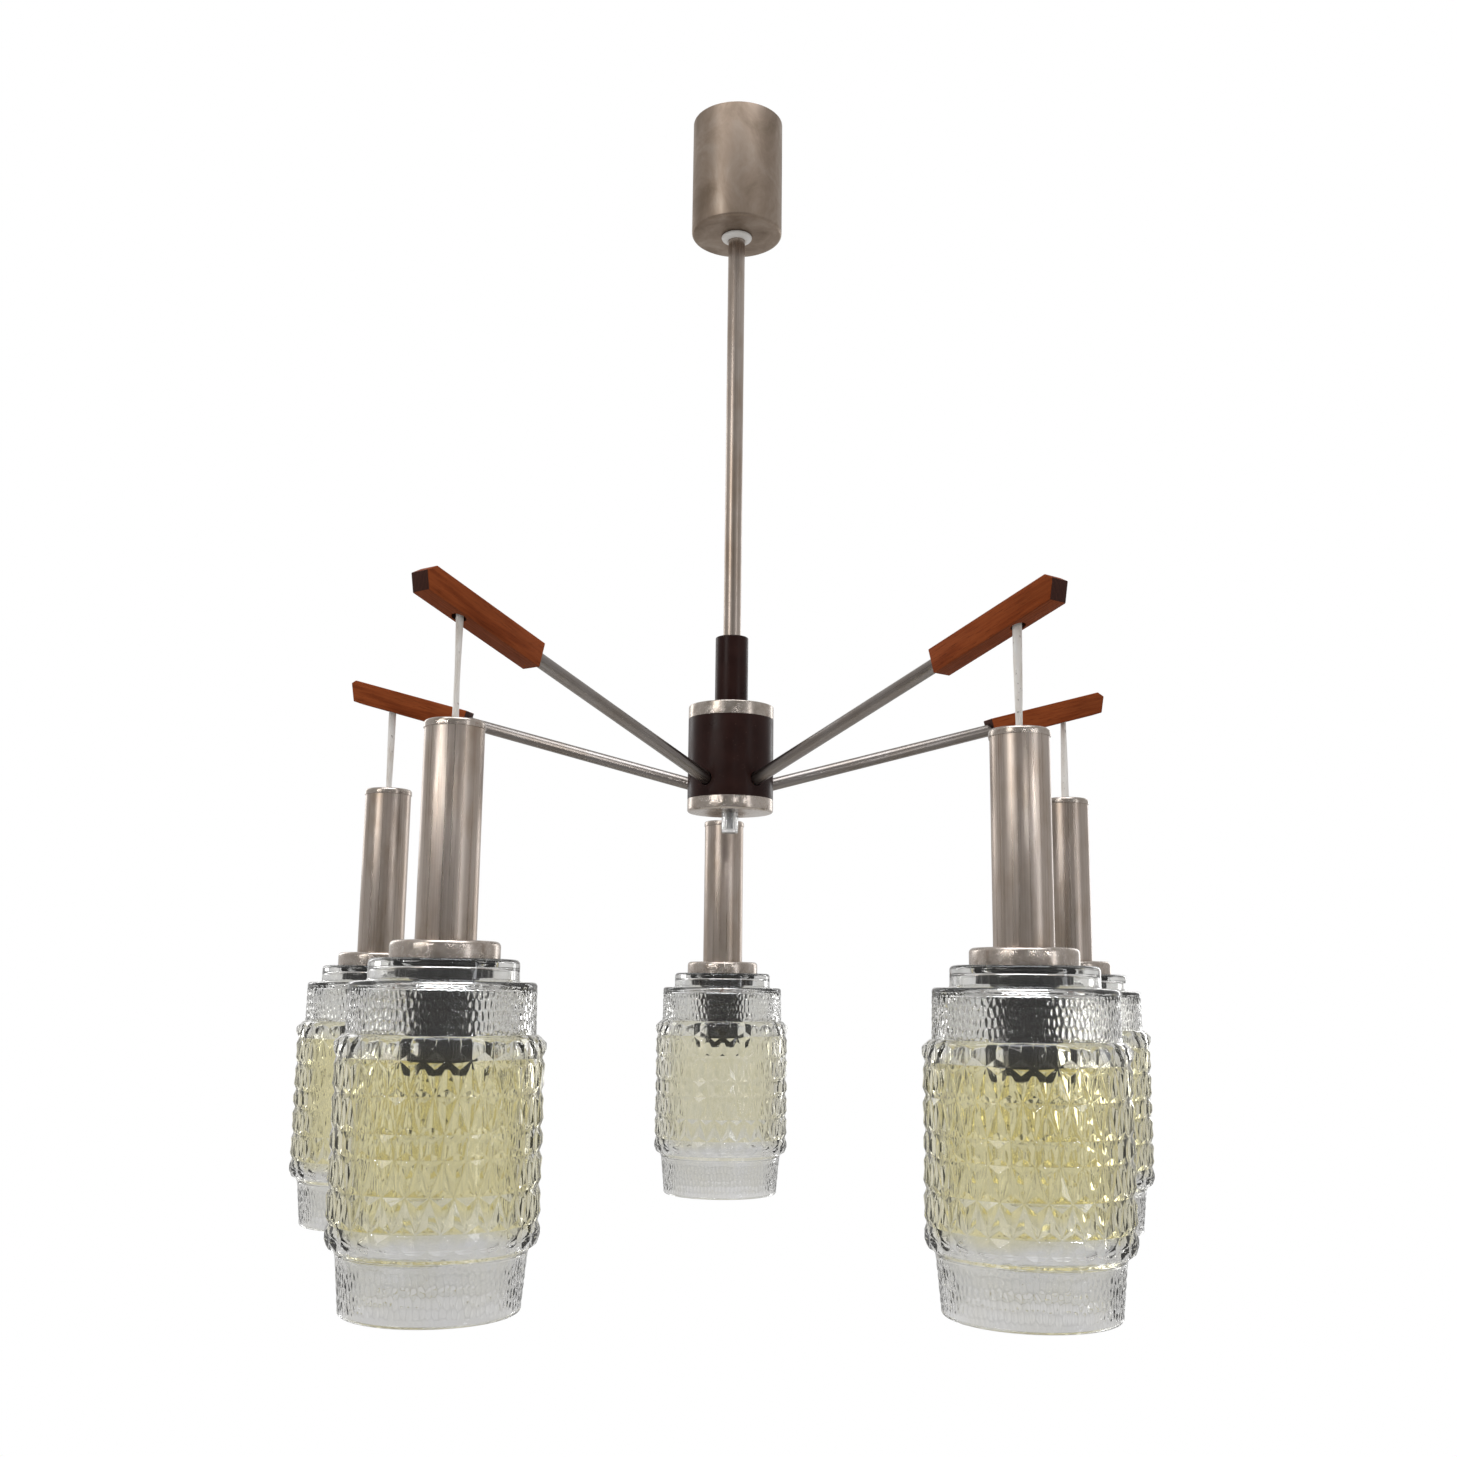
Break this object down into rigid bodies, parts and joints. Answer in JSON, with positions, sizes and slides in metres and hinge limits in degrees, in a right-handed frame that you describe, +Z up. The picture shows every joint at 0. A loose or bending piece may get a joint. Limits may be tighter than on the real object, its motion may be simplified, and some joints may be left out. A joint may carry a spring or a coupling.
{
  "type": "chandelier",
  "caption": "Chandelier with a slim stem, a drum hub and rising arms with teak ends, each holding a long cover tube and a bell of faceted pressed glass on a flat cord.",
  "frame": {"origin": "centre of the canopy's open rim, on the ceiling plane", "axes": "+Z up along the stem; +Y towards arm 1, and the arms follow anticlockwise seen from above"},
  "size_m": [0.7086, 0.6801, 0.922],
  "materials": {
    "tarnished_nickel": "matt nickel plate with brown tarnish in soft blotches",
    "white_plastic": "moulded white plastic",
    "zinc_steel": "zinc-plated steel",
    "satin_nickel": "satin nickel plate, drawn lengthwise, slightly tarnished",
    "dark_lacquer": "dark brown lacquer, satin gloss",
    "polished_nickel": "polished nickel plate",
    "brass": "turned brass",
    "terminal_plastic": "ivory plastic",
    "cable_sheath": "plain cable sheath",
    "clear_plastic": "clear ridged plastic",
    "teak": "oiled teak with dark end grain",
    "cord_pvc": "aged cream-white flat cord",
    "black_bakelite": "black bakelite",
    "pressed_glass": "clear pressed glass, hammered bands, facets stained pale yellow"
  },
  "bodies": {
    "root": {"hanging_bracket": "zinc_steel", "stem_tube": "satin_nickel", "stem_collar": "dark_lacquer", "hub_top_cap": "polished_nickel", "hub_drum": "dark_lacquer", "hub_bottom_cap": "polished_nickel", "hub_yoke": "zinc_steel", "tie_rod": "zinc_steel", "lock_nuts": "brass", "terminal_blocks": "terminal_plastic", "supply_cable": "cable_sheath", "arm_cables": "cable_sheath", "arm_tube_1": "satin_nickel", "arm_tube_2": "satin_nickel", "arm_tube_3": "satin_nickel", "arm_tube_4": "satin_nickel", "arm_tube_5": "satin_nickel", "arm_block_1": "teak", "arm_block_2": "teak", "arm_block_3": "teak", "arm_block_4": "teak", "arm_block_5": "teak"},
    "canopy": {"canopy": "tarnished_nickel", "canopy_bush": "white_plastic"},
    "finial": {"finial_nut": "clear_plastic"},
    "cord_1": {"pendant_cord_1": "cord_pvc"},
    "pendant_1": {"end_cap_1": "satin_nickel", "cover_tube_1": "satin_nickel", "gallery_1": "polished_nickel", "lamp_holder_1": "black_bakelite", "shade_1": "pressed_glass"},
    "ring_1": {"shade_ring_1": "black_bakelite"},
    "cord_2": {"pendant_cord_2": "cord_pvc"},
    "pendant_2": {"end_cap_2": "satin_nickel", "cover_tube_2": "satin_nickel", "gallery_2": "polished_nickel", "lamp_holder_2": "black_bakelite", "shade_2": "pressed_glass"},
    "ring_2": {"shade_ring_2": "black_bakelite"},
    "cord_3": {"pendant_cord_3": "cord_pvc"},
    "pendant_3": {"end_cap_3": "satin_nickel", "cover_tube_3": "satin_nickel", "gallery_3": "polished_nickel", "lamp_holder_3": "black_bakelite", "shade_3": "pressed_glass"},
    "ring_3": {"shade_ring_3": "black_bakelite"},
    "cord_4": {"pendant_cord_4": "cord_pvc"},
    "pendant_4": {"end_cap_4": "satin_nickel", "cover_tube_4": "satin_nickel", "gallery_4": "polished_nickel", "lamp_holder_4": "black_bakelite", "shade_4": "pressed_glass"},
    "ring_4": {"shade_ring_4": "black_bakelite"},
    "cord_5": {"pendant_cord_5": "cord_pvc"},
    "pendant_5": {"end_cap_5": "satin_nickel", "cover_tube_5": "satin_nickel", "gallery_5": "polished_nickel", "lamp_holder_5": "black_bakelite", "shade_5": "pressed_glass"},
    "ring_5": {"shade_ring_5": "black_bakelite"}
  },
  "joints": [
    {"name": "canopy_slide", "type": "slide", "parent": "root", "child": "canopy", "axis": [0, 0, -1], "range_m": [0, 0.34]},
    {"name": "finial_turn", "type": "hinge", "parent": "root", "child": "finial", "pos_m": [0, 0, -0.5938], "axis": [0, 0, 1], "continuous": true},
    {"name": "cord_swing_1", "type": "hinge", "parent": "root", "child": "cord_1", "pos_m": [0, 0.305, -0.49953], "axis": [-1, 0, 0], "range_deg": [-12, 12]},
    {"name": "pendant_swing_1", "type": "hinge", "parent": "cord_1", "child": "pendant_1", "pos_m": [0, 0.305, -0.56673], "axis": [0, 1, 0], "range_deg": [-12, 12]},
    {"name": "shade_ring_turn_1", "type": "hinge", "parent": "pendant_1", "child": "ring_1", "pos_m": [0, 0.305, -0.72353], "axis": [0, 0, 1], "continuous": true},
    {"name": "cord_swing_2", "type": "hinge", "parent": "root", "child": "cord_2", "pos_m": [-0.29007, 0.09425, -0.49953], "axis": [-0.309, -0.9511, 0], "range_deg": [-12, 12]},
    {"name": "pendant_swing_2", "type": "hinge", "parent": "cord_2", "child": "pendant_2", "pos_m": [-0.29007, 0.09425, -0.56673], "axis": [-0.9511, 0.309, 0], "range_deg": [-12, 12]},
    {"name": "shade_ring_turn_2", "type": "hinge", "parent": "pendant_2", "child": "ring_2", "pos_m": [-0.29007, 0.09425, -0.72353], "axis": [0, 0, 1], "continuous": true},
    {"name": "cord_swing_3", "type": "hinge", "parent": "root", "child": "cord_3", "pos_m": [-0.17927, -0.24675, -0.49953], "axis": [0.809, -0.5878, 0], "range_deg": [-12, 12]},
    {"name": "pendant_swing_3", "type": "hinge", "parent": "cord_3", "child": "pendant_3", "pos_m": [-0.17927, -0.24675, -0.56673], "axis": [-0.5878, -0.809, 0], "range_deg": [-12, 12]},
    {"name": "shade_ring_turn_3", "type": "hinge", "parent": "pendant_3", "child": "ring_3", "pos_m": [-0.17927, -0.24675, -0.72353], "axis": [0, 0, 1], "continuous": true},
    {"name": "cord_swing_4", "type": "hinge", "parent": "root", "child": "cord_4", "pos_m": [0.17927, -0.24675, -0.49953], "axis": [0.809, 0.5878, 0], "range_deg": [-12, 12]},
    {"name": "pendant_swing_4", "type": "hinge", "parent": "cord_4", "child": "pendant_4", "pos_m": [0.17927, -0.24675, -0.56673], "axis": [0.5878, -0.809, 0], "range_deg": [-12, 12]},
    {"name": "shade_ring_turn_4", "type": "hinge", "parent": "pendant_4", "child": "ring_4", "pos_m": [0.17927, -0.24675, -0.72353], "axis": [0, 0, 1], "continuous": true},
    {"name": "cord_swing_5", "type": "hinge", "parent": "root", "child": "cord_5", "pos_m": [0.29007, 0.09425, -0.49953], "axis": [-0.309, 0.9511, 0], "range_deg": [-12, 12]},
    {"name": "pendant_swing_5", "type": "hinge", "parent": "cord_5", "child": "pendant_5", "pos_m": [0.29007, 0.09425, -0.56673], "axis": [0.9511, 0.309, 0], "range_deg": [-12, 12]},
    {"name": "shade_ring_turn_5", "type": "hinge", "parent": "pendant_5", "child": "ring_5", "pos_m": [0.29007, 0.09425, -0.72353], "axis": [0, 0, 1], "continuous": true}
  ]
}
